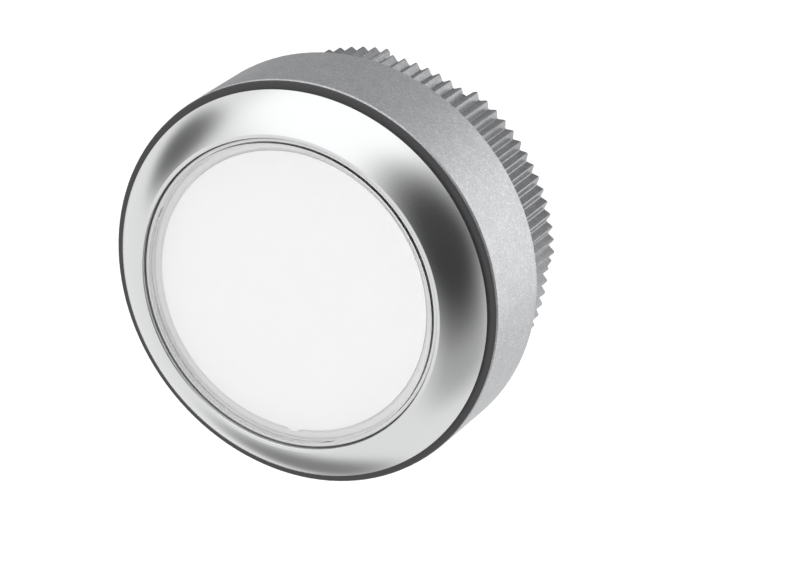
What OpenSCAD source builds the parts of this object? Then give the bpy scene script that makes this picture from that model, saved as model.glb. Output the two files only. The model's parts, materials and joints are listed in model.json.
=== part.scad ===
// Panel pilot light for a 22 mm hole: a round lamp head with a satin front ring,
// held from behind the panel by a ribbed ring nut. Millimetres.
// The head faces -Y, +Z is up, and the origin is the centre of the collar's rear
// face, which seats on the panel. Profiles are drawn as [radius, height], with
// height counted forwards from that face.

/* [Head] */
// Outside diameter of the barrel's thread, for a hole 0.3 mm wider
barrel_d = 22; // [16:0.1:30]
// How far the collar overhangs the barrel
collar_overhang = 4; // [3.5:0.1:6]
// Depth of the collar in front of the panel
collar_depth = 6.7; // [6:0.1:9]
// Wall of the collar around its pocket
collar_wall = 1.6; // [1.2:0.1:2]
// Chamfer on the collar's two outer edges
collar_edge = 0.12; // [0.05:0.01:0.25]
// Thickness of the dark trim ring under the bezel
trim_t = 0.24; // [0.2:0.02:0.5]

/* [Bezel] */
// Width of the dark trim ring that shows around the bezel
bezel_step = 0.57; // [0.3:0.01:0.9]
// Width of the bezel between its outer edge and the window
bezel_w = 2.88; // [2.5:0.01:3.1]
// Height of the bezel's lip above the collar
bezel_rise = 2.63; // [2.2:0.01:3.5]
// Radius of the crown between the outer edge and the lip
crown_r = 8; // [5:0.5:20]
// Height of the bezel's upright outer edge
bezel_edge = 0.1; // [0.05:0.01:0.3]
// Gap under the bezel's outer edge
bezel_gap = 0.07; // [0.02:0.01:0.15]
// Wall of the bezel's spigot
spigot_wall = 0.8; // [0.6:0.05:1]

/* [Lens] */
// Gap between the lens and the bezel's lip
lens_gap = 0.21; // [0.1:0.01:0.3]
// Depth of the lens face below the bezel's lip
lens_sink = 0.05; // [0:0.01:0.3]
// Bevel around the lens face
lens_bevel = 0.3; // [0.1:0.05:0.5]
// Thickness of the lens face
lens_t = 1.15; // [0.9:0.05:1.4]
// Wall of the lens skirt
lens_wall = 0.75; // [0.6:0.05:0.9]
// Thickness of the lens flange
lens_flange_t = 0.85; // [0.6:0.05:1]
// Cord diameter of the seal under the lens flange
seal_cord = 1; // [0.8:0.05:1.2]
// Wall of the diffuser cup
diffuser_wall = 0.85; // [0.6:0.05:1]
// Diameter of the diffuser's keying lobe
lobe_d = 1.4; // [1:0.1:1.8]
// How far the lobe stands out past the diffuser's rim
lobe_out = 0.25; // [0.1:0.05:0.4]

/* [Barrel] */
// Length of the barrel behind the panel face
barrel_length = 9.8; // [9:0.1:10.6]
// Wall of the barrel, over its thread
barrel_wall = 1.5; // [1.3:0.05:1.7]
// Pitch of the thread
thread_pitch = 1.5; // [1:0.25:2]
// Depth of the thread
thread_depth = 0.45; // [0.3:0.05:0.5]
// Width of the keyway along the barrel
keyway_w = 2.8; // [2:0.1:4]
// Depth of the keyway below the thread's crest
keyway_depth = 0.85; // [0.7:0.05:0.95]
// Width of the locating nib behind the collar
nib_w = 2.9; // [2:0.1:3.2]
// Height of the nib above the barrel
nib_h = 1; // [0.6:0.1:1.1]

/* [Panel stack] */
// Thickness of the panel gasket
gasket_t = 1.1; // [0.9:0.1:1.3]
// How far the gasket stands out of its recess
gasket_proud = 0.5; // [0.3:0.1:0.6]
// Rim of the collar outside the gasket
gasket_rim = 1; // [0.9:0.05:1.5]
// Thickness of the lock washer
washer_t = 0.8; // [0.6:0.1:1]
// Width of the lock washer outside the barrel
washer_w = 1.8; // [1.5:0.1:2.2]

/* [Ring nut] */
// Wall of the nut, over its ribs
nut_wall = 2.65; // [2.3:0.05:3.5]
// Length of the nut
nut_length = 4.7; // [4.2:0.05:5]
// Number of ribs
rib_count = 90; // [60:2:120]
// Depth of the V between two ribs
rib_depth = 0.45; // [0.3:0.05:0.6]
// Number of notches in the nut's rear end
notch_count = 4; // [2:1:6]
// Angle that one notch spans
notch_angle = 30; // [15:1:45]
// Depth of the notches
notch_depth = 0.96; // [0.5:0.02:1.4]

/* [Lamp] */
// Thickness of the reflector's wall
reflector_wall = 0.8; // [0.6:0.05:1]
// Diameter of the reflector's lamp opening
reflector_mouth = 8.8; // [8:0.1:9.6]
// Thickness of the circuit board
board_t = 1; // [0.8:0.1:1.2]
// Side of a lamp package
chip_w = 1.9; // [1.6:0.1:2.1]
// Height of a lamp package
chip_h = 0.8; // [0.5:0.05:1]
// Number of lamp packages
chip_count = 4; // [3:1:4]

/* [Terminals] */
// Length of the terminal block inside the barrel
block_inside = 4.4; // [4.2:0.1:4.6]
// Length of the terminal block behind the barrel
block_outside = 3.2; // [3:0.1:3.6]
// How far the terminal block lies inside the barrel's bore
block_step = 0.8; // [0.5:0.05:0.9]
// Distance from a terminal screw to the block's side
screw_inset = 4.4; // [4.3:0.05:4.5]
// Thread diameter of the terminal screws
screw_d = 3; // [2.5:0.1:3]
// Head diameter of the terminal screws
screw_head_d = 5; // [4.6:0.1:5.4]
// Height of the screw heads
screw_head_h = 1.5; // [1.2:0.1:1.8]
// Length of the screws under the head
screw_length = 3.3; // [3:0.1:3.5]
// Thickness of the terminal plates and clamps
plate_t = 0.8; // [0.6:0.1:1]
// Side of the square clamps
clamp_w = 5.4; // [5:0.1:5.6]
// Width of the wire entries
entry_w = 3.2; // [2.5:0.1:4]

/* [Hidden] */
$fn = 96;

// Clearances
slip = 0.05;      // running fit, on the radius
fit_gap = 0.1;    // pieces of one body that slide together
loose = 0.3;      // pieces that pass each other freely
eps = 0.01;       // overshoot of a cut at a wall
over = 1;         // overshoot of a cut that passes right through

// Collar and bezel
barrel_r = barrel_d / 2;
collar_r = barrel_r + collar_overhang;
pocket_r = collar_r - collar_wall;
trim_top = collar_depth + trim_t;
bezel_r = collar_r - bezel_step;
bezel_base = trim_top + bezel_gap;
bezel_top = collar_depth + bezel_rise;
window_r = bezel_r - bezel_w;
lip_round = 0.14;
crown_steps = 12;
spigot_r = pocket_r - fit_gap;
spigot_in = spigot_r - spigot_wall;
spigot_end = 3.3;
bead_h = 0.22;
bead_low = spigot_end + 0.3;
bead_high = bead_low + 0.6;
foot_r = bezel_r - 0.33;
groove_play = 0.05;

// Lens, diffuser and seal
lens_r = window_r - lens_gap;
lens_top = bezel_top - lens_sink;
lens_under = lens_top - lens_t;
ledge_z = lens_under + slip;
flange_low = lens_under - lens_flange_t;
flange_r = spigot_in - fit_gap;
skirt_r = lens_r - fit_gap;
skirt_in = skirt_r - lens_wall;
diffuser_r = skirt_in - fit_gap;
diffuser_top = lens_under - 0.05;
diffuser_t = 0.9;
lobe_h = 0.8;
lobe_x = diffuser_r + lobe_out - lobe_d / 2;
seat_r = spigot_in - fit_gap;
seat_in = skirt_r + fit_gap;
seal_r = (seat_r + seat_in) / 2;
seal_z = flange_low - seal_cord / 2;
seat_top = flange_low - seal_cord;

// Barrel
thread_root = barrel_r - thread_depth;
bore_r = barrel_r - barrel_wall;
floor_z = 2.2;
shoulder_r = bore_r - 0.5;
pocket_floor = spigot_end - 0.3;
board_top = -2;
board_low = board_top - board_t;
barrel_end = -barrel_length;
lead_in = 0.4;
snap_h = 0.17;
snap_in = 1.3;
snap_mid = barrel_end + snap_in;
snap_w = 0.7;

// Panel stack, from the collar backwards
recess_z = gasket_t - gasket_proud;
gasket_in = barrel_r + 0.3;
gasket_out = collar_r - gasket_rim;
washer_front = -gasket_proud - slip;
washer_rear = washer_front - washer_t;
nut_front = washer_rear - slip;
nut_rear = nut_front - nut_length;
nut_bore = barrel_r + slip;
nut_r = barrel_r + nut_wall;
nut_chamfer = 0.5;
notch_start = 73;
rib_start = 1;
nib_r = barrel_r + nib_h;
nib_end = washer_rear + 0.15;
washer_r = barrel_r + washer_w;
washer_in = barrel_r + 0.15;
key_r = barrel_r - keyway_depth;

// Lamp and electronics
flange_top = 3;
cone_top_r = shoulder_r - fit_gap - reflector_wall;
mouth_r = reflector_mouth / 2;
cone_end = board_top + 0.05;
board_r = bore_r - fit_gap;
chip_ring = 2.5;
chip_dish = 0.2;
resistor_size = [1.6, 3.2, 0.55];
resistor_at = [1.8, 5.6];
rectifier_size = [4.7, 3.9, 1.6];
rectifier_lead = [0.6, 0.9, 0.5];
rectifier_lift = 0.15;
rectifier_at = 5;
capacitor_size = [3.2, 2.5, 1.4];

// Terminals
block_front = barrel_end + block_inside;
block_rear = barrel_end - block_outside;
block_r = bore_r - block_step;
rim_step = 0.8;
rim_r = bore_r + rim_step;
rim_t = 0.7;
screw_x = block_r - screw_inset;
screw_r = screw_d / 2;
head_r = screw_head_d / 2;
chamber_floor = barrel_end + 0.1;
chamber_w = clamp_w + 2 * loose;
chamber_h = chamber_w + 0.4;
plate_w = clamp_w + 0.2;
plate_rear = chamber_floor - plate_t;
clamp_front = plate_rear - slip;
clamp_rear = clamp_front - plate_t;
head_front = clamp_rear - 0.02;
tap_r = screw_r + slip;
boss_r = screw_r + 0.8;
boss_h = 0.8;
leg_t = 0.8;
leg_w = 2;
leg_x = screw_x + plate_w / 2 - leg_t / 2 - 0.2;
leg_top = board_top + 0.4;
slot_w = 0.7;
slot_depth = 0.8;
entry_front = plate_rear - 0.2;

// Turns a shape drawn along +Z to face -Y, with its own +Y upwards.
module face_front() {
    rotate([90, 0, 0]) children();
}

// A body of revolution from [radius, height] points.
module turned(outline) {
    rotate_extrude() polygon(outline);
}

// A ring of rectangular section between two heights.
module ring(r_in, r_out, low, high) {
    turned([[r_in, low], [r_out, low], [r_out, high], [r_in, high]]);
}

// A wedge about the axis, used as a cutter.
module wedge(radius, angle, low, high) {
    translate([0, 0, low])
        linear_extrude(height = high - low)
            polygon([[0, 0], radius * [cos(-angle / 2), sin(-angle / 2)],
                     1.1 * radius * [1, 0], radius * [cos(angle / 2), sin(angle / 2)]]);
}

// A centred block between two heights.
module block(size_x, size_y, low, high) {
    translate([-size_x / 2, -size_y / 2, low])
        cube([size_x, size_y, high - low]);
}

// Crests of the barrel thread, as a row of trapezoids.
module thread_crests() {
    crest = 0.35 * thread_pitch;
    flank = 0.22 * thread_pitch;
    turns = floor((barrel_length - lead_in) / thread_pitch);
    for (i = [0 : turns - 1]) {
        mid = barrel_end + lead_in + (i + 0.5) * thread_pitch;
        polygon([[thread_root - eps, mid - crest / 2 - flank], [barrel_r, mid - crest / 2],
                 [barrel_r, mid + crest / 2], [thread_root - eps, mid + crest / 2 + flank]]);
    }
}

// Half section of the collar and the plain barrel.
module housing_section() {
    difference() {
        polygon([
            [shoulder_r, floor_z], [shoulder_r, board_top], [bore_r, board_top],
            [bore_r, barrel_end], [thread_root - lead_in, barrel_end],
            [thread_root, barrel_end + lead_in], [thread_root, recess_z],
            [gasket_out + fit_gap, recess_z], [gasket_out + fit_gap, 0],
            [collar_r - collar_edge, 0], [collar_r, collar_edge],
            [collar_r, collar_depth - collar_edge], [collar_r - collar_edge, collar_depth],
            [pocket_r, collar_depth], [pocket_r, pocket_floor], [seat_r, pocket_floor],
            [seat_r, seat_top], [seat_in, seat_top], [seat_in, floor_z]]);
        // Groove for the bezel's snap bead
        translate([pocket_r - eps, bead_low - groove_play])
            square([bead_h - fit_gap + groove_play + eps, bead_high - bead_low + 2 * groove_play]);
        // Groove for the terminal block's snap bead
        translate([bore_r - eps, snap_mid - snap_w / 2 - groove_play])
            square([snap_h - fit_gap + groove_play + eps, snap_w + 2 * groove_play]);
    }
}

module housing() {
    color([0.62, 0.63, 0.65])
    face_front()
    difference() {
        union() {
            rotate_extrude() {
                housing_section();
                thread_crests();
            }
            // Locating nib at twelve o'clock
            translate([0, thread_root - eps, nib_end])
                translate([-nib_w / 2, 0, 0])
                    cube([nib_w, nib_r - thread_root + eps, recess_z - nib_end + eps]);
        }
        // Keyway at six o'clock
        translate([-keyway_w / 2, -barrel_r - over, barrel_end - over])
            cube([keyway_w, barrel_r + over - key_r, over - barrel_end]);
    }
}

// Points of the arc from start to end, bulging away from the axis's side.
function arc(start, end, radius, steps) =
    let (half = norm(end - start) / 2,
         away = [end[1] - start[1], start[0] - end[0]] / (2 * half),
         centre = (start + end) / 2 - away * sqrt(radius * radius - half * half),
         from = atan2(start[1] - centre[1], start[0] - centre[0]),
         to = atan2(end[1] - centre[1], end[0] - centre[0]))
    [for (i = [0 : steps])
        let (angle = from + (to - from) * i / steps)
        centre + radius * [cos(angle), sin(angle)]];

// The bezel's section: a crowned cone over a spigot with a snap bead.
function bezel_outline() =
    let (bead_r = spigot_r + bead_h - fit_gap,
         crown = arc([bezel_r, bezel_base + bezel_edge], [window_r + lip_round, bezel_top],
                     crown_r, crown_steps))
    concat([[spigot_in, spigot_end], [spigot_r, spigot_end], [spigot_r, bead_low],
            [bead_r, bead_low + 0.2], [bead_r, bead_high - 0.1], [spigot_r, bead_high],
            [spigot_r, trim_top], [foot_r, trim_top], [foot_r, bezel_base],
            [bezel_r, bezel_base]],
           crown,
           [[window_r, bezel_top - lip_round], [window_r, ledge_z], [spigot_in, ledge_z]]);

module bezel() {
    color([0.86, 0.87, 0.88])
    face_front()
    turned(bezel_outline());
}

module trim_ring() {
    soft_edge = trim_t / 3;
    color([0.2, 0.2, 0.21])
    face_front()
    turned([[pocket_r, collar_depth], [collar_r - collar_edge, collar_depth],
            [collar_r - soft_edge / 2, collar_depth + soft_edge],
            [collar_r - soft_edge / 2, trim_top - soft_edge],
            [collar_r - 1.5 * soft_edge, trim_top], [pocket_r, trim_top]]);
}

module lens_cap() {
    color([0.93, 0.94, 0.95, 0.5])
    face_front()
    difference() {
        turned([[0, lens_under], [skirt_in, lens_under], [skirt_in, flange_top],
                [skirt_r, flange_top], [skirt_r, flange_low], [flange_r, flange_low],
                [flange_r, lens_under], [lens_r, lens_under], [lens_r, lens_top - lens_bevel],
                [lens_r - lens_bevel, lens_top], [0, lens_top]]);
        // Notch for the diffuser's lobe
        translate([0, -lobe_x, flange_top - over])
            cylinder(d = lobe_d + 2 * fit_gap, h = lens_under - flange_top + over, $fn = 32);
    }
}

module diffuser() {
    color([0.97, 0.97, 0.96])
    face_front() {
        turned([[0, diffuser_top], [diffuser_r, diffuser_top], [diffuser_r, flange_top],
                [diffuser_r - diffuser_wall, flange_top],
                [diffuser_r - diffuser_wall, diffuser_top - diffuser_t],
                [0, diffuser_top - diffuser_t]]);
        translate([0, -lobe_x, diffuser_top - lobe_h])
            cylinder(d = lobe_d, h = lobe_h, $fn = 32);
    }
}

module lens_seal() {
    color([0.1, 0.1, 0.1])
    face_front()
    rotate_extrude()
        translate([seal_r, seal_z]) circle(d = seal_cord, $fn = 32);
}

module reflector() {
    color([0.95, 0.95, 0.95])
    face_front()
    turned([[mouth_r, cone_end], [mouth_r + reflector_wall, cone_end],
            [cone_top_r + reflector_wall, floor_z], [skirt_r, floor_z],
            [skirt_r, flange_top], [cone_top_r, flange_top]]);
}

module led_board() {
    color([0.1, 0.35, 0.2])
    face_front()
    difference() {
        ring(0, board_r, board_low, board_top);
        for (side = [-1, 1])
            translate([side * leg_x, 0, 0])
                block(leg_t + 2 * fit_gap, leg_w + 2 * fit_gap, board_low - eps, board_top + eps);
    }
}

module led_chips() {
    color([0.98, 0.93, 0.6])
    face_front()
    for (i = [0 : chip_count - 1])
        rotate(i * 360 / chip_count)
            translate([chip_ring, 0, 0])
                difference() {
                    block(chip_w, chip_w, board_top, board_top + chip_h);
                    translate([0, 0, board_top + chip_h - chip_dish])
                        cylinder(d = 0.75 * chip_w, h = chip_dish + eps, $fn = 32);
                }
}

// Two chip resistors behind the board, each with its end caps in the same block.
module resistors() {
    color([0.12, 0.12, 0.12])
    face_front()
    for (side = [-1, 1])
        translate([side * resistor_at[0], -resistor_at[1], 0])
            block(resistor_size[0], resistor_size[1], board_low - resistor_size[2], board_low);
}

module rectifier() {
    lead_y = (rectifier_size[1] + rectifier_lead[1]) / 2;
    color([0.13, 0.13, 0.14])
    face_front()
    translate([0, rectifier_at, 0]) {
        block(rectifier_size[0], rectifier_size[1],
              board_low - rectifier_size[2], board_low - rectifier_lift);
        for (sx = [-1, 1], sy = [-1, 1])
            translate([sx * rectifier_size[0] / 4, sy * lead_y, 0])
                block(rectifier_lead[0], rectifier_lead[1] + eps,
                      board_low - rectifier_lead[2], board_low);
    }
}

module capacitor() {
    color([0.75, 0.65, 0.5])
    face_front()
    block(capacitor_size[0], capacitor_size[1], board_low - capacitor_size[2], board_low);
}

module panel_gasket() {
    color([0.08, 0.08, 0.08])
    face_front()
    difference() {
        ring(gasket_in, gasket_out, recess_z - gasket_t, recess_z);
        translate([0, gasket_in, 0])
            block(nib_w + 2 * fit_gap, 2 * (nib_r - gasket_in + fit_gap), -gasket_t, gasket_t);
    }
}

module lock_washer() {
    color([0.75, 0.76, 0.78])
    face_front()
    difference() {
        union() {
            ring(washer_in, washer_r, washer_rear, washer_front);
            // Key that runs in the barrel's keyway
            translate([0, -(key_r + fit_gap + washer_r - 1) / 2, 0])
                block(keyway_w - 2 * fit_gap, washer_r - 1 - key_r - fit_gap,
                      washer_rear, washer_front);
        }
        // Way past the locating nib
        translate([0, washer_in, 0])
            block(nib_w + 2 * fit_gap, 2 * (nib_r - washer_in + 2 * fit_gap),
                  washer_rear - eps, washer_front + eps);
    }
}

// One closed outline of V-shaped ribs.
function rib_outline() =
    [for (i = [0 : rib_count - 1], tip = [1, 0])
        let (angle = rib_start + (i + (1 - tip) / 2) * 360 / rib_count,
             radius = nut_r - (1 - tip) * rib_depth)
        radius * [cos(angle), sin(angle)]];

module ring_nut() {
    color([0.6, 0.61, 0.63])
    face_front()
    difference() {
        translate([0, 0, nut_rear])
            linear_extrude(height = nut_length) polygon(rib_outline());
        translate([0, 0, nut_rear - over])
            cylinder(r = nut_bore, h = nut_length + 2 * over);
        // Lead-in chamfers of the thread
        translate([0, 0, nut_front - nut_chamfer])
            cylinder(r1 = nut_bore, r2 = nut_bore + nut_chamfer + eps, h = nut_chamfer + eps);
        translate([0, 0, nut_rear - eps])
            cylinder(r1 = nut_bore + nut_chamfer + eps, r2 = nut_bore, h = nut_chamfer + eps);
        // Notches for the tightening tool
        for (i = [0 : notch_count - 1])
            rotate(notch_start + i * 360 / notch_count)
                wedge(1.2 * nut_r, notch_angle, nut_rear - over, nut_rear + notch_depth);
    }
}

module terminal_block() {
    color([0.16, 0.16, 0.17])
    face_front()
    difference() {
        turned([[0, block_front], [bore_r - fit_gap - 0.3, block_front],
                [bore_r - fit_gap, block_front - 0.3], [bore_r - fit_gap, snap_mid + snap_w / 2],
                [bore_r + snap_h - fit_gap, snap_mid], [bore_r - fit_gap, snap_mid - snap_w / 2],
                [bore_r - fit_gap, barrel_end], [rim_r, barrel_end], [rim_r, barrel_end - rim_t],
                [block_r, barrel_end - rim_t - 0.2], [block_r, block_rear + 0.4],
                [block_r - 0.4, block_rear], [0, block_rear]]);
        for (side = [-1, 1])
            translate([side * screw_x, 0, 0]) {
                block(chamber_w, chamber_h, block_rear - over, chamber_floor);
                // Wire entry from below, open to the rear
                translate([0, -block_r, 0])
                    block(entry_w, 2 * block_r - chamber_h / 2, block_rear - over, entry_front);
                // Pocket for the tapped boss, and the screw's way
                translate([0, 0, chamber_floor - eps])
                    cylinder(r = boss_r + fit_gap, h = boss_h + fit_gap + eps);
                translate([0, 0, chamber_floor - eps])
                    cylinder(r = screw_r + 0.2, h = screw_length - 2 * plate_t + 0.6);
            }
        // Slots for the legs of the terminal plates
        for (side = [-1, 1])
            translate([side * leg_x, 0, 0])
                block(leg_t + 2 * fit_gap, leg_w + 2 * fit_gap, chamber_floor - eps, block_front + over);
    }
}

module terminal_plate(side) {
    color([0.8, 0.66, 0.35])
    face_front()
    difference() {
        union() {
            translate([side * screw_x, 0, 0]) {
                block(plate_w, plate_w, plate_rear, chamber_floor);
                cylinder_between(boss_r, chamber_floor - eps, chamber_floor + boss_h);
            }
            translate([side * leg_x, 0, 0])
                block(leg_t, leg_w, chamber_floor - eps, leg_top);
        }
        translate([side * screw_x, 0, 0])
            cylinder_between(tap_r, plate_rear - over, chamber_floor + boss_h + over);
    }
}

module cylinder_between(radius, low, high) {
    translate([0, 0, low]) cylinder(r = radius, h = high - low);
}

module wire_clamp(side) {
    color([0.78, 0.79, 0.8])
    face_front()
    translate([side * screw_x, 0, 0])
        difference() {
            block(clamp_w, clamp_w, clamp_rear, clamp_front);
            cylinder_between(screw_r + fit_gap, clamp_rear - over, clamp_front + over);
        }
}

module terminal_screw(side) {
    crown = 0.3;
    color([0.8, 0.81, 0.82])
    face_front()
    translate([side * screw_x, 0, head_front])
        difference() {
            turned([[0, -screw_head_h], [head_r - crown, -screw_head_h],
                    [head_r, crown - screw_head_h], [head_r, 0], [screw_r, 0],
                    [screw_r, screw_length - 0.3], [screw_r - 0.3, screw_length],
                    [0, screw_length]]);
            rotate(90 + side * 20)
                block(slot_w, 2 * head_r + over, -screw_head_h - over, slot_depth - screw_head_h);
        }
}

housing();
bezel();
trim_ring();
lens_cap();
diffuser();
lens_seal();
reflector();
led_board();
led_chips();
resistors();
rectifier();
capacitor();
panel_gasket();
lock_washer();
ring_nut();
terminal_block();
terminal_plate(-1);  // terminal_plate_1
terminal_plate(1);  // terminal_plate_2
wire_clamp(-1);  // wire_clamp_1
wire_clamp(1);  // wire_clamp_2
terminal_screw(-1);  // terminal_screw_1
terminal_screw(1);  // terminal_screw_2
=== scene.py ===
# %% [markdown]
# # A panel pilot light, dressed for its picture
# This lesson takes the built part of a round pilot light and gives it its finish: a satin-chrome front ring,
# a clear lens over a milky diffuser, a grey collar with a metallic sparkle, and a ribbed ring nut.
# The built part is the frame. Its pieces stay where they are, and every new piece is made to its sizes.

# %% Load the frame
import json
import math

import bmesh
import bpy
from mathutils import Matrix, Vector


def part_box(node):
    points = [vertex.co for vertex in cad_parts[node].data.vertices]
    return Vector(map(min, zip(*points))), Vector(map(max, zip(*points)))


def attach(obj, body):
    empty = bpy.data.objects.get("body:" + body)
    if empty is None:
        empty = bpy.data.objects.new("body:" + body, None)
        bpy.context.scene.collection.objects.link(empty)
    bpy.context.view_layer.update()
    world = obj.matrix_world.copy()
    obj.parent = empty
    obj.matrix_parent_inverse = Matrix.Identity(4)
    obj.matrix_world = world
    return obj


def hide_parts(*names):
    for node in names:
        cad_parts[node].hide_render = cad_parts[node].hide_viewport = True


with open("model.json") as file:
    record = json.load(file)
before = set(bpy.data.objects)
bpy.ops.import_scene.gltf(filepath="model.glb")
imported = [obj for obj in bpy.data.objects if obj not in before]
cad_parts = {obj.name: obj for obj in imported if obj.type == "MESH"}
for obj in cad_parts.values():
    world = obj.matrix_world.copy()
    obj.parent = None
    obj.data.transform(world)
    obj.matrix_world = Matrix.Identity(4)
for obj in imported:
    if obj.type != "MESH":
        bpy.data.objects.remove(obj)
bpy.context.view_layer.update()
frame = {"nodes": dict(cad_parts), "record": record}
nodes = frame["nodes"]
print("pieces in the frame:", len(nodes))

# %% [markdown]
# The lamp's axis runs along Y, and its front looks to -Y. Almost every piece is turned, so a place on it is
# said best by two numbers: its radius, and how far forward of the panel it lies. The frame's boxes give both.

# %% Read the sizes of the built pieces
MM = 0.001


def size_of(node):
    """Outer radius, forward end and rear end of a turned node, in millimetres."""
    low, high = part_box(node)
    return high.x / MM, -low.y / MM, -high.y / MM


collar_r = size_of("housing")[0]
bezel_r, bezel_top, spigot_end = size_of("bezel")
trim_top = size_of("trim_ring")[1]
flange_r, lens_top, lens_low = size_of("lens_cap")
nut_r, nut_front, nut_rear = size_of("ring_nut")
print("collar radius", round(collar_r, 2), "bezel radius", round(bezel_r, 2), "nut radius", round(nut_r, 2))

# %% [markdown]
# A turned piece could be drawn with a Screw modifier. Here each one is spun by hand from its outline, because
# then the corners can be rounded first. A rounded corner catches a thin line of light, which is most of what
# makes a small moulding look real.

# %% Helpers for turned pieces
ON_AXIS = 1e-6
NEARLY_STRAIGHT = math.radians(175)
LONGEST_CUT = 0.45


def rounded(outline, radius, steps=4):
    """The closed outline with its corners rounded. An entry may carry its own radius as a third number."""
    points = []
    count = len(outline)
    for i, corner in enumerate(outline):
        here = Vector(corner[:2])
        back = Vector(outline[i - 1][:2]) - here
        ahead = Vector(outline[(i + 1) % count][:2]) - here
        wanted = corner[2] if len(corner) > 2 else radius
        turn = back.angle(ahead, math.pi)
        if wanted <= 0 or turn > NEARLY_STRAIGHT or here.x < ON_AXIS:
            points.append(here)
            continue
        reach = min(wanted / math.tan(turn / 2), LONGEST_CUT * back.length, LONGEST_CUT * ahead.length)
        start, end = here + back.normalized() * reach, here + ahead.normalized() * reach
        for k in range(steps + 1):
            t = k / steps
            points.append((1 - t) ** 2 * start + 2 * t * (1 - t) * here + t * t * end)
    return points


def arc(start, end, radius, steps):
    """Points on an arc from start to end that bulges to the left of the way."""
    start, end = Vector(start), Vector(end)
    half = (end - start) / 2
    side = Vector((half.y, -half.x)).normalized()
    centre = start + half - side * math.sqrt(radius ** 2 - half.length ** 2)
    first, last = start - centre, end - centre
    a, b = math.atan2(first.y, first.x), math.atan2(last.y, last.x)
    angles = [a + (b - a) * i / steps for i in range(steps + 1)]
    return [centre + radius * Vector((math.cos(t), math.sin(t))) for t in angles]


def shade(mesh, angle=32):
    """Smooth shading with a crisp edge wherever two faces meet at more than the angle."""
    for face in mesh.polygons:
        face.use_smooth = True
    mesh.set_sharp_from_angle(angle=math.radians(angle))


def spun(name, outline, steps=256):
    """A closed surface of revolution about the lamp's axis, from [radius, forward] points in millimetres."""
    bm = bmesh.new()
    rings = []
    turns = [2 * math.pi * i / steps for i in range(steps)]
    for radius, forward in outline:
        if radius < ON_AXIS:
            rings.append([bm.verts.new((0, -forward * MM, 0))])
            continue
        rings.append([bm.verts.new((radius * MM * math.cos(t), -forward * MM, radius * MM * math.sin(t)))
                      for t in turns])
    for k, ring in enumerate(rings):
        following = rings[(k + 1) % len(rings)]
        if len(ring) == 1 and len(following) == 1:
            continue
        for i in range(steps):
            j = (i + 1) % steps
            corners = [ring[i % len(ring)], ring[j % len(ring)],
                       following[j % len(following)], following[i % len(following)]]
            bm.faces.new(list(dict.fromkeys(corners)))
    bmesh.ops.recalc_face_normals(bm, faces=bm.faces)
    return piece_from(name, bm)


def piece_from(name, bm):
    """A linked object from a bmesh, which is freed."""
    mesh = bpy.data.meshes.new(name)
    bm.to_mesh(mesh)
    bm.free()
    shade(mesh)
    piece = bpy.data.objects.new(name, mesh)
    bpy.context.scene.collection.objects.link(piece)
    return piece

# %% [markdown]
# ## Shared effects for the finishes
# Several finishes share an effect: a fine grain from the mould, and the sparkle of metal flakes in the grey
# paint. Each effect is a shader node group with named inputs, made once. The Principled BSDF stays in each
# material, so that every finish can be read, and exported, by itself.

# %% Helpers for node trees
def add(tree, kind, values=None, **settings):
    """A node of a kind, with its settings and the default values of its inputs."""
    node = tree.nodes.new(kind)
    for key, value in settings.items():
        setattr(node, key, value)
    for key, value in (values or {}).items():
        if isinstance(value, bpy.types.NodeSocket):
            tree.links.new(value, node.inputs[key])
        else:
            node.inputs[key].default_value = value
    return node


def group(name, kind, inputs, outputs):
    """An empty node group with named sockets, and its input and output nodes."""
    tree = bpy.data.node_groups.new(name, kind)
    for direction, sockets in (("INPUT", inputs), ("OUTPUT", outputs)):
        for label, socket_type, default in sockets:
            socket = tree.interface.new_socket(name=label, in_out=direction, socket_type=socket_type)
            if default is not None:
                socket.default_value = default
    return tree, tree.nodes.new("NodeGroupInput"), tree.nodes.new("NodeGroupOutput")


FLOAT, COLOUR, VECTOR = "NodeSocketFloat", "NodeSocketColor", "NodeSocketVector"

# %% Mould grain, a fine unevenness of height and gloss
def make_grain():
    """Fine noise for height, and broad noise that swings the roughness about its middle value."""
    tree, given, out = group("mould grain", "ShaderNodeTree",
                             [("Scale", FLOAT, 4000.0), ("Roughness", FLOAT, 0.4), ("Spread", FLOAT, 0.08)],
                             [("Height", FLOAT, None), ("Roughness", FLOAT, None)])
    place = add(tree, "ShaderNodeTexCoord").outputs["Object"]
    fine = add(tree, "ShaderNodeTexNoise", {"Vector": place, "Scale": given.outputs["Scale"],
                                            "Detail": 3.0, "Roughness": 0.6})
    broad = add(tree, "ShaderNodeTexNoise", {"Vector": place, "Scale": 260.0, "Detail": 2.0})
    centred = add(tree, "ShaderNodeMath", {0: broad.outputs["Fac"], 1: 0.5}, operation="SUBTRACT")
    swing = add(tree, "ShaderNodeMath", {0: centred.outputs[0], 1: given.outputs["Spread"]}, operation="MULTIPLY")
    gloss = add(tree, "ShaderNodeMath", {0: swing.outputs[0], 1: given.outputs["Roughness"]}, operation="ADD")
    tree.links.new(fine.outputs["Fac"], out.inputs["Height"])
    tree.links.new(gloss.outputs[0], out.inputs["Roughness"])
    return tree


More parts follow.
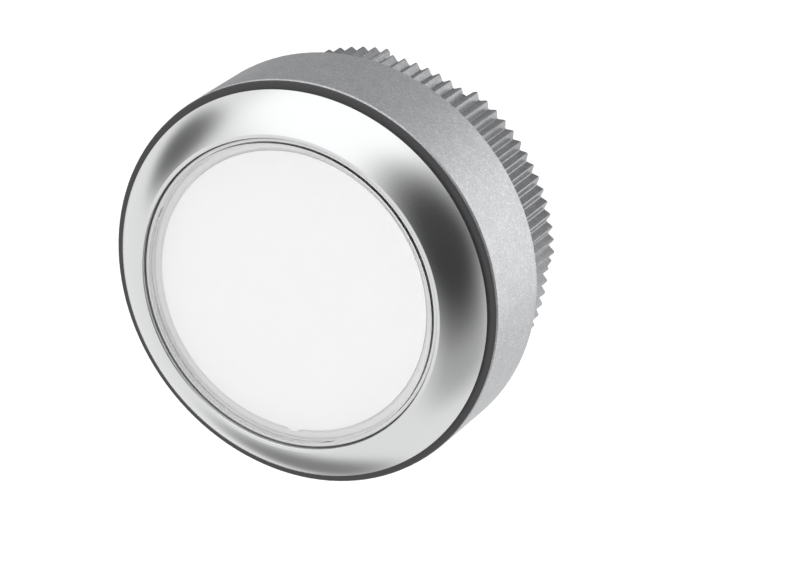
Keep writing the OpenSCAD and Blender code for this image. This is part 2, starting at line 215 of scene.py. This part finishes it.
# %% Metal flakes, tiny tilted mirrors in the grey paint
def make_flakes():
    """Voronoi cells as flakes: few are bright, and clouds of noise lighten the paint between them."""
    tree, given, out = group("metal flakes", "ShaderNodeTree",
                             [("Base", COLOUR, (0.4, 0.4, 0.4, 1)), ("Flake", COLOUR, (0.7, 0.7, 0.7, 1)),
                              ("Scale", FLOAT, 12000.0), ("Amount", FLOAT, 0.5)],
                             [("Color", COLOUR, None), ("Height", FLOAT, None)])
    place = add(tree, "ShaderNodeTexCoord").outputs["Object"]
    cells = add(tree, "ShaderNodeTexVoronoi", {"Vector": place, "Scale": given.outputs["Scale"]})
    tone = add(tree, "ShaderNodeSeparateColor", {"Color": cells.outputs["Color"]})
    lively = add(tree, "ShaderNodeMath", {0: tone.outputs[0], 1: 3.0}, operation="POWER")
    share = add(tree, "ShaderNodeMath", {0: lively.outputs[0], 1: given.outputs["Amount"]}, operation="MULTIPLY")
    cloud = add(tree, "ShaderNodeTexNoise", {"Vector": place, "Scale": 900.0, "Detail": 3.0})
    patch = add(tree, "ShaderNodeMath", {0: cloud.outputs["Fac"], 1: 0.3}, operation="MULTIPLY")
    total = add(tree, "ShaderNodeMath", {0: share.outputs[0], 1: patch.outputs[0]},
                operation="ADD", use_clamp=True)
    mixed = add(tree, "ShaderNodeMix", {"Factor": total.outputs[0], 6: given.outputs["Base"],
                                        7: given.outputs["Flake"]}, data_type="RGBA")
    tree.links.new(mixed.outputs[2], out.inputs["Color"])
    tree.links.new(tone.outputs[1], out.inputs["Height"])
    return tree


GRAIN = make_grain()
FLAKES = make_flakes()
print("shared effects:", GRAIN.name, "and", FLAKES.name)


# %% [markdown]
# ## Materials
# Each material is one Principled BSDF. A grained finish takes its height and its roughness from the mould grain,
# and a flaked one takes its colour and height from the flakes. The clear lens uses the Light Path node: shadow
# rays and diffuse rays pass through it, which lights the diffuser behind without the noise of real caustics.

# %% Helpers for materials
BUMP_DEPTH, FLAKE_DEPTH = 0.01, 0.012


def new_material(name, **sockets):
    """A material with one Principled BSDF whose plain sockets are set by name."""
    material = bpy.data.materials.new(name)
    material.use_nodes = True
    shader = material.node_tree.nodes["Principled BSDF"]
    for key, value in sockets.items():
        shader.inputs[key.replace("_", " ")].default_value = value
    return material, material.node_tree, shader


def placed(tree, effect, values):
    """A shared effect in a material, with the material's own values."""
    node = add(tree, "ShaderNodeGroup", node_tree=effect)
    for key, value in values.items():
        node.inputs[key].default_value = value
    return node


def bumped(tree, shader, height, strength, distance):
    """Tilt the shader's normal by a height, with the distance in millimetres."""
    bump = add(tree, "ShaderNodeBump", {"Strength": strength, "Distance": distance * MM, "Height": height})
    tree.links.new(bump.outputs["Normal"], shader.inputs["Normal"])


def grained(name, colour, roughness, spread=0.08, scale=4000.0, bump=0.15, **sockets):
    """A moulded or rolled finish: plain colour, uneven gloss and a fine grain."""
    material, tree, shader = new_material(name, Base_Color=(*colour, 1), **sockets)
    grain = placed(tree, GRAIN, {"Scale": scale, "Roughness": roughness, "Spread": spread})
    tree.links.new(grain.outputs["Roughness"], shader.inputs["Roughness"])
    bumped(tree, shader, grain.outputs["Height"], bump, BUMP_DEPTH)
    return material


def flaked(name, base, flake, roughness, amount, bump):
    """Grey metallic paint: flakes in a satin binder."""
    material, tree, shader = new_material(name, Metallic=0.75, Roughness=roughness)
    paint = placed(tree, FLAKES, {"Base": (*base, 1), "Flake": (*flake, 1), "Amount": amount})
    tree.links.new(paint.outputs["Color"], shader.inputs["Base Color"])
    bumped(tree, shader, paint.outputs["Height"], bump, FLAKE_DEPTH)
    return material


def make_clear_lens():
    """Clear moulding. Shadow and diffuse rays pass straight through, so that what lies behind it is lit."""
    material, tree, shader = new_material("clear lens", Base_Color=(1, 1, 1, 1), Roughness=0.03, IOR=1.49,
                                          Transmission_Weight=1.0)
    path = add(tree, "ShaderNodeLightPath")
    passing = add(tree, "ShaderNodeMath", {0: path.outputs["Is Shadow Ray"], 1: path.outputs["Is Diffuse Ray"]},
                  operation="MAXIMUM")
    solid = add(tree, "ShaderNodeMath", {0: 1.0, 1: passing.outputs[0]}, operation="SUBTRACT")
    tree.links.new(solid.outputs[0], shader.inputs["Alpha"])
    return material


# %% [markdown]
# The frame's record names a slot for each piece. One dictionary gives each slot its finish, so the same zinc
# or brass is made once and put on every piece that has it. Metals are told apart by colour and gloss alone.

# %% The finishes
METAL = {"scale": 1500.0, "Metallic": 1.0}
finish = {
    "grey_paint": flaked("grey metallic paint", base=(0.45, 0.455, 0.465), flake=(0.86, 0.865, 0.88),
                         roughness=0.4, amount=0.5, bump=0.15),
    "nut_grey": flaked("grey nut moulding", base=(0.25, 0.253, 0.26), flake=(0.56, 0.565, 0.58),
                       roughness=0.3, amount=0.5, bump=0.1),
    "satin_chrome": grained("satin chrome", (0.80, 0.805, 0.81), 0.2, spread=0.03, scale=2500.0, bump=0.02,
                            Metallic=1.0),
    "charcoal": grained("charcoal moulding", (0.055, 0.055, 0.058), 0.5, spread=0.1),
    "black_rubber": grained("black rubber", (0.018, 0.018, 0.018), 0.75, spread=0.1, scale=3000.0, bump=0.3),
    "white_plastic": grained("white moulding", (0.82, 0.82, 0.81), 0.35),
    "board_green": grained("green solder resist", (0.02, 0.12, 0.05), 0.3),
    "lamp_package": grained("phosphor", (0.85, 0.7, 0.25), 0.4),
    "chip_black": grained("chip moulding", (0.02, 0.02, 0.02), 0.5),
    "chip_tan": grained("fired ceramic", (0.4, 0.28, 0.16), 0.45),
    "zinc_steel": grained("zinc plate", (0.62, 0.63, 0.65), 0.32, spread=0.12, bump=0.1, **METAL),
    "screw_steel": grained("nickel plate", (0.68, 0.67, 0.64), 0.25, spread=0.1, bump=0.08, **METAL),
    "contact_brass": grained("rolled brass", (0.78, 0.56, 0.25), 0.28, spread=0.12, bump=0.1, **METAL),
    "block_black": grained("black terminal moulding", (0.03, 0.03, 0.032), 0.45, spread=0.1),
    # the diffuser's faint emission is a painted glow: it brightens the diffuser though the lamp behind it is not
    # lit
    "milk_plastic": grained("milky diffuser with painted glow", (0.95, 0.95, 0.948), 0.4, spread=0.05, scale=1500.0, bump=0.02,
                            Emission_Color=(1, 1, 1, 1), Emission_Strength=0.04),
    "clear_lens": make_clear_lens(),
}
slot_of = {s["node"]: s["material_slot"] for s in frame["record"]["subparts"]}
for name, piece in nodes.items():
    piece.data.materials.clear()
    piece.data.materials.append(finish[slot_of[name]])
print("finishes:", len(finish))

# %% [markdown]
# ## The chrome bezel
# The bezel is one turned ring. Its crown is a shallow arc, and the chrome on it shows every flat, so the piece is
# spun again with a finer arc and small rounded corners.

# %% Bezel
def dress(piece, node, slot=None, body="lamp"):
    """Let a piece stand for a built node, with that node's finish, on its body."""
    slot = slot or slot_of[node]
    piece.data.materials.clear()
    piece.data.materials.append(finish[slot])
    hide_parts(node)
    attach(piece, body)
    return piece


trim_step = 0.07
window_r, lip_flat, lip_round, edge_height = 11.55, 0.16, 0.08, 0.2
spigot_out, spigot_in, ledge = 13.3, 12.5, 8.13
undercut_r = bezel_r - 0.33
CROWN_RADIUS, CROWN_STEPS, LIP_STEPS = 8.0, 48, 7


def bezel_outline():
    """The ring's section: under side, crown, rounded lip, and the wall inside it."""
    foot = trim_top + trim_step
    under_side = rounded([(spigot_in, spigot_end), (spigot_out, spigot_end, 0.1), (spigot_out, trim_top),
                          (undercut_r, trim_top), (undercut_r, foot), (bezel_r, foot, 0.06)], 0, 4)
    crown = arc((bezel_r, foot + edge_height), (window_r + lip_round + lip_flat, bezel_top),
                CROWN_RADIUS, CROWN_STEPS)
    turns = [math.radians(90 * k / LIP_STEPS) for k in range(1, LIP_STEPS)]
    lip = [(window_r + lip_round * (1 - math.sin(t)), bezel_top - lip_round * (1 - math.cos(t))) for t in turns]
    wall = [(window_r, bezel_top - lip_round), (window_r, ledge), (spigot_in, ledge)]
    return [tuple(point) for point in [*under_side, *crown, *lip, *wall]]


bezel = spun("bezel_ring", bezel_outline(), steps=360)
dress(bezel, "bezel")
print("bezel faces:", len(bezel.data.polygons))

# %% [markdown]
# ## The lens
# The lens is a clear moulding with a flat face and a skirt. Its skirt is seen through the face, as the pale band
# around the diffuser. It is frosted here and has two fine steps, which draw the thin arcs in that band.

# %% Lens
lens_r, lens_thick = 11.2, 1.15
skirt_r, skirt_in, skirt_gap = 11.24, 10.41, 0.02
rim_r, rim_sink, flange_thick = 11.45, 0.26, 0.83
under = lens_top - lens_thick


def make_window():
    """The clear face, a disc with a rounded rim."""
    face = [(0, under), (lens_r, under, 0.05), (lens_r, lens_top, 0.2), (0, lens_top)]
    window = spun("lens_window", [tuple(p) for p in rounded(face, 0, 6)])
    return dress(window, "lens_cap", "clear_lens")


def make_skirt():
    """The frosted skirt, with its flange, the rim round the face and the fine steps on its end."""
    top = under - skirt_gap
    rim_top = lens_top - rim_sink
    flange_low = top - flange_thick
    steps = [(skirt_in, lens_low), (skirt_r, lens_low), (skirt_r, flange_low), (flange_r, flange_low),
             (flange_r, top), (rim_r, top), (rim_r, rim_top), (skirt_r, rim_top),
             (skirt_r, top), (skirt_r - 0.2, top - 0.1), (skirt_r - 0.3, top - 0.02),
             (skirt_in + 0.22, top - 0.06), (skirt_in + 0.12, top - 0.16), (skirt_in, top - 0.1)]
    skirt = spun("lens_skirt", [tuple(p) for p in rounded(steps, 0.02, 2)])
    skirt.data.materials.append(grained("frosted lens skirt", (0.80, 0.80, 0.80), 0.5, spread=0.1,
                                        scale=2500.0, bump=0.05, Coat_Weight=0.3))
    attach(skirt, "lamp")
    return skirt


lens_window = make_window()
lens_skirt = make_skirt()
print("lens faces:", len(lens_window.data.polygons) + len(lens_skirt.data.polygons))

# %% [markdown]
# ## The ring nut
# A ring nut is a plain ring whose rim carries V ribs and whose rear end carries notches. It could be cut tooth by
# tooth, but all of it follows a rule: how deep a point lies depends only on its angle. So a plain ring is spun
# with many steps, and a Geometry Nodes tree moves its points by that rule. The rib count, depth and the notches
# stay as named inputs.

# %% The rule for ribs and notches
RIM_BAND, REAR_BAND = 0.9 * MM, 0.7 * MM


def math_in(tree, operation, *values):
    """The result of a Math node on one, two or three values."""
    return add(tree, "ShaderNodeMath", dict(enumerate(values)), operation=operation).outputs[0]


def make_rib_rule():
    """Move a plain ring's rim inwards between ribs, and its rear end forwards in the notches."""
    tree = bpy.data.node_groups.new("rib and notch rule", "GeometryNodeTree")
    sockets = [("Geometry", "NodeSocketGeometry", None), ("Ribs", "NodeSocketInt", 90), ("Depth", FLOAT, 0.00045),
               ("Rim radius", FLOAT, 0.01365), ("First rib", FLOAT, 1.0), ("Rounding", FLOAT, 0.3),
               ("Notches", "NodeSocketInt", 4), ("Notch angle", FLOAT, 30.0), ("First notch", FLOAT, 73.0),
               ("Notch depth", FLOAT, 0.00096), ("Rear", FLOAT, 0.0061), ("Material", "NodeSocketMaterial", None)]
    for label, kind, default in sockets:
        socket = tree.interface.new_socket(name=label, in_out="INPUT", socket_type=kind)
        if default is not None:
            socket.default_value = default
    tree.interface.new_socket(name="Geometry", in_out="OUTPUT", socket_type="NodeSocketGeometry")
    given, out = tree.nodes.new("NodeGroupInput").outputs, tree.nodes.new("NodeGroupOutput")
    place = add(tree, "ShaderNodeSeparateXYZ", {0: add(tree, "GeometryNodeInputPosition").outputs[0]}).outputs
    turn = math_in(tree, "ARCTAN2", place["Z"], place["X"])
    degrees = math_in(tree, "MULTIPLY", turn, 180 / math.pi)
    square = math_in(tree, "ADD", math_in(tree, "MULTIPLY", place["X"], place["X"]),
                     math_in(tree, "MULTIPLY", place["Z"], place["Z"]))
    radius = math_in(tree, "SQRT", square)
    # 0 on a ridge and 1 in the valley between two ribs
    pitch = math_in(tree, "DIVIDE", 360.0, given["Ribs"])
    phase = math_in(tree, "DIVIDE", math_in(tree, "SUBTRACT", degrees, given["First rib"]), pitch)
    wave = math_in(tree, "PINGPONG", math_in(tree, "MULTIPLY", phase, 2.0), 1.0)
    eased = add(tree, "ShaderNodeMapRange", {"Value": wave}, interpolation_type="SMOOTHSTEP").outputs[0]
    valley = add(tree, "ShaderNodeMix", {0: given["Rounding"], 2: wave, 3: eased}).outputs[0]
    # only points near the rim belong to the ribs
    inner = math_in(tree, "SUBTRACT", given["Rim radius"], RIM_BAND)
    rim = add(tree, "ShaderNodeMapRange", {"Value": radius, "From Min": inner,
                                           "From Max": given["Rim radius"]}).outputs[0]
    rim = math_in(tree, "POWER", rim, 0.5)
    sunk = math_in(tree, "MULTIPLY", math_in(tree, "MULTIPLY", valley, given["Depth"]), rim)
    share = math_in(tree, "DIVIDE", math_in(tree, "SUBTRACT", radius, sunk), radius)
    # a point is in a notch where its angle from the notch's middle is under half the notch
    spacing = math_in(tree, "DIVIDE", 360.0, given["Notches"])
    from_start = math_in(tree, "SUBTRACT", degrees, given["First notch"])
    half_pitch = math_in(tree, "MULTIPLY", spacing, 0.5)
    wrapped = math_in(tree, "WRAP", from_start, half_pitch, math_in(tree, "MULTIPLY", half_pitch, -1.0))
    aside = math_in(tree, "ABSOLUTE", wrapped)
    inside = math_in(tree, "LESS_THAN", aside, math_in(tree, "MULTIPLY", given["Notch angle"], 0.5))
    near_rear = math_in(tree, "SUBTRACT", given["Rear"], REAR_BAND)
    at_rear = math_in(tree, "GREATER_THAN", place["Y"], near_rear)
    back = math_in(tree, "MULTIPLY", math_in(tree, "MULTIPLY", inside, at_rear), given["Notch depth"])
    moved = add(tree, "ShaderNodeCombineXYZ", {0: math_in(tree, "MULTIPLY", place["X"], share),
                                               1: math_in(tree, "SUBTRACT", place["Y"], back),
                                               2: math_in(tree, "MULTIPLY", place["Z"], share)})
    shaped = add(tree, "GeometryNodeSetPosition", {"Geometry": given["Geometry"], "Position": moved.outputs[0]})
    real = add(tree, "GeometryNodeRealizeInstances", {"Geometry": shaped.outputs[0]})
    dressed = add(tree, "GeometryNodeSetMaterial", {"Geometry": real.outputs[0], "Material": given["Material"]})
    tree.links.new(dressed.outputs[0], out.inputs[0])
    return tree


def shaped_by(piece, tree, values):
    """The piece's mesh after a Geometry Nodes tree, as a plain mesh with no modifier left."""
    modifier = piece.modifiers.new("rule", "NODES")
    modifier.node_group = tree
    for item in tree.interface.items_tree:
        if item.in_out == "INPUT" and item.name in values:
            modifier[item.identifier] = values[item.name]
    evaluated = piece.evaluated_get(bpy.context.evaluated_depsgraph_get())
    mesh = bpy.data.meshes.new_from_object(evaluated)
    piece.modifiers.remove(modifier)
    piece.data = mesh
    return mesh


# %% Ring nut
NUT_RIBS, NUT_STEPS_A_RIB = 90, 10


BORE_R, THREAD_DEPTH, THREAD_PITCH = 11.05, 0.45, 1.5
THREAD_MARGIN, RIM_ROUND = 0.5, 0.12
ROOT_SHARE, CREST_SHARE = 0.36, 0.1


def nut_outline():
    """The plain ring's section, with a thread of ridges along its bore."""
    shoulder = BORE_R + THREAD_MARGIN
    section = [(shoulder, nut_rear), (nut_r, nut_rear, RIM_ROUND), (nut_r, nut_front, RIM_ROUND),
               (shoulder, nut_front)]
    bore_line = [(BORE_R, nut_front - THREAD_MARGIN)]
    turns = int((nut_front - nut_rear - 2 * THREAD_MARGIN) / THREAD_PITCH)
    start = (nut_front + nut_rear) / 2 + turns * THREAD_PITCH / 2
    for k in range(turns):
        mid = start - (k + 0.5) * THREAD_PITCH
        root, crest = ROOT_SHARE * THREAD_PITCH, CREST_SHARE * THREAD_PITCH
        bore_line += [(BORE_R, mid + root), (BORE_R + THREAD_DEPTH, mid + crest),
                      (BORE_R + THREAD_DEPTH, mid - crest), (BORE_R, mid - root)]
    bore_line += [(BORE_R, nut_rear + THREAD_MARGIN)]
    return [tuple(p) for p in rounded(section + bore_line, 0, 3)]


def make_ring_nut():
    """The plain ring, shaped by the rule."""
    nut = spun("ribbed_ring_nut", nut_outline(), steps=NUT_RIBS * NUT_STEPS_A_RIB)
    shaped_by(nut, make_rib_rule(), {"Ribs": NUT_RIBS, "Rim radius": nut_r * MM, "Rear": -nut_rear * MM,
                                     "Material": finish["nut_grey"]})
    shade(nut.data, angle=28)
    dress(nut, "ring_nut", body="nut")
    return nut


ring_nut = make_ring_nut()
print("ring nut faces:", len(ring_nut.data.polygons))
print("ring nut size in mm:", [round(v / MM, 2) for v in ring_nut.dimensions])

# %% [markdown]
# ## The camera
# A small product is taken from well back with a long lens, so that its circles stay even ellipses. The camera
# stands up and to the right of the front. Its place is worked out from two angles and a distance, and it is then
# moved aside in its own plane, which puts the lamp left of the middle without turning the view.

# %% Camera
AZIMUTH, ELEVATION = math.radians(26.13), math.radians(21.91)
DISTANCE, FOCAL_LENGTH, SENSOR_WIDTH = 285.9, 182.2, 36
ASIDE = Vector((-3.305, 2.648))


def make_camera():
    """A camera on the axis of the two angles, moved aside in millimetres and level with the horizon."""
    back = Vector((math.sin(AZIMUTH) * math.cos(ELEVATION), -math.cos(AZIMUTH) * math.cos(ELEVATION),
                   math.sin(ELEVATION)))
    right = Vector((0, 0, 1)).cross(back).normalized()
    up = back.cross(right)
    data = bpy.data.cameras.new("camera")
    data.lens, data.sensor_width = FOCAL_LENGTH, SENSOR_WIDTH
    data.clip_start, data.clip_end = 0.01, 10
    camera = bpy.data.objects.new("camera", data)
    turn = Matrix((right, up, back)).transposed().to_4x4()
    place = (back * DISTANCE - right * ASIDE.x - up * ASIDE.y) * MM
    camera.matrix_world = Matrix.Translation(place) @ turn
    bpy.context.scene.collection.objects.link(camera)
    bpy.context.scene.camera = camera
    return camera


camera = make_camera()
print("camera lens:", round(camera.data.lens, 1), "mm")

# %% [markdown]
# ## The light
# Chrome has no look of its own: it shows the room. Area lamps could be hung about it, but a world made of soft
# areas gives the same reflections with less noise. The room is an even pale grey. Each area is a cone about a
# direction, with a soft edge: brighter ones are softboxes, and darker ones are the flags that give chrome its
# dark bands. The camera itself sees plain white, through the Light Path node.

# %% Soft light from a direction
def make_soft_area():
    """A mask that is 1 inside a cone about a direction, and fades to 0 at its outer angle."""
    tree, given, out = group("soft area", "ShaderNodeTree",
                             [("Way", VECTOR, None), ("Towards", VECTOR, None),
                              ("Inner", FLOAT, 0.9), ("Outer", FLOAT, 0.7)],
                             [("Mask", FLOAT, None)])
    along = add(tree, "ShaderNodeVectorMath", {0: given.outputs["Way"], 1: given.outputs["Towards"]},
                operation="DOT_PRODUCT")
    faded = add(tree, "ShaderNodeMapRange", {"Value": along.outputs["Value"], "From Min": given.outputs["Outer"],
                                             "From Max": given.outputs["Inner"]}, interpolation_type="SMOOTHSTEP")
    tree.links.new(faded.outputs["Result"], out.inputs["Mask"])
    return tree


def towards(azimuth, elevation):
    """Unit vector at an azimuth from the front, to the right, and an elevation, in degrees."""
    a, e = math.radians(azimuth), math.radians(elevation)
    return Vector((math.sin(a) * math.cos(e), -math.cos(a) * math.cos(e), math.sin(e)))


# azimuth, elevation, inner and outer angle in degrees, brightness
SOFT_AREAS = [
    ("key softbox", -12, 56, 24, 50, 1.25),
    ("rear fill", 147, 6, 10, 38, 1.5),
    ("rear left shade", -158, 22, 18, 52, 0.3),
    ("left shade", -78, 13, 5, 23, 0.14),
    ("low left shade", -116, -66, 4, 24, 0.25),
    ("low right shade", 55, -32, 6, 34, 0.45),
    ("front flag", 43, 8, 14, 48, 0.05),
]
ROOM = 0.9


def make_world():
    """The room's level, with each soft area mixed over it in turn."""
    area = make_soft_area()
    world = bpy.data.worlds.new("studio")
    world.use_nodes = True
    bpy.context.scene.world = world
    tree = world.node_tree
    background = tree.nodes["Background"]
    way = add(tree, "ShaderNodeTexCoord").outputs["Generated"]
    room = add(tree, "ShaderNodeValue")
    room.outputs[0].default_value = ROOM
    level = room.outputs[0]
    for name, azimuth, elevation, inner, outer, brightness in SOFT_AREAS:
        mask = add(tree, "ShaderNodeGroup", node_tree=area, label=name)
        tree.links.new(way, mask.inputs["Way"])
        mask.inputs["Towards"].default_value = towards(azimuth, elevation)
        mask.inputs["Inner"].default_value = math.cos(math.radians(inner))
        mask.inputs["Outer"].default_value = math.cos(math.radians(outer))
        level = add(tree, "ShaderNodeMix", {0: mask.outputs["Mask"], 2: level, 3: brightness}).outputs[0]
    seen = add(tree, "ShaderNodeLightPath")
    level = add(tree, "ShaderNodeMix", {0: seen.outputs["Is Camera Ray"], 2: level, 3: 1.0}).outputs[0]
    tree.links.new(level, background.inputs["Strength"])
    background.inputs["Color"].default_value = (1, 1, 1, 1)


make_world()
bpy.context.scene.view_settings.view_transform = "Standard"
print("soft areas in the room:", len(SOFT_AREAS))

# %% [markdown]
# ## The floor
# A wide pale disc lies well below the lamp, and glows faintly so that it stays even. Glossy rays don't see it,
# because its rim would draw a line across the chrome.

# %% Floor
FLOOR_RADIUS, FLOOR_DROP = 1.2, 0.07


def make_floor():
    """A disc in metres, with a matt and faintly glowing material."""
    bm = bmesh.new()
    bmesh.ops.create_circle(bm, cap_ends=True, segments=96, radius=FLOOR_RADIUS)
    for vert in bm.verts:
        vert.co.z -= FLOOR_DROP
    floor = piece_from("studio_floor", bm)
    material = new_material("pale floor", Base_Color=(0.93, 0.93, 0.93, 1), Roughness=0.9,
                            Emission_Color=(1, 1, 1, 1), Emission_Strength=0.32)[0]
    floor.data.materials.append(material)
    floor.visible_glossy = False
    return floor


floor = make_floor()
print("floor radius:", FLOOR_RADIUS, "m")
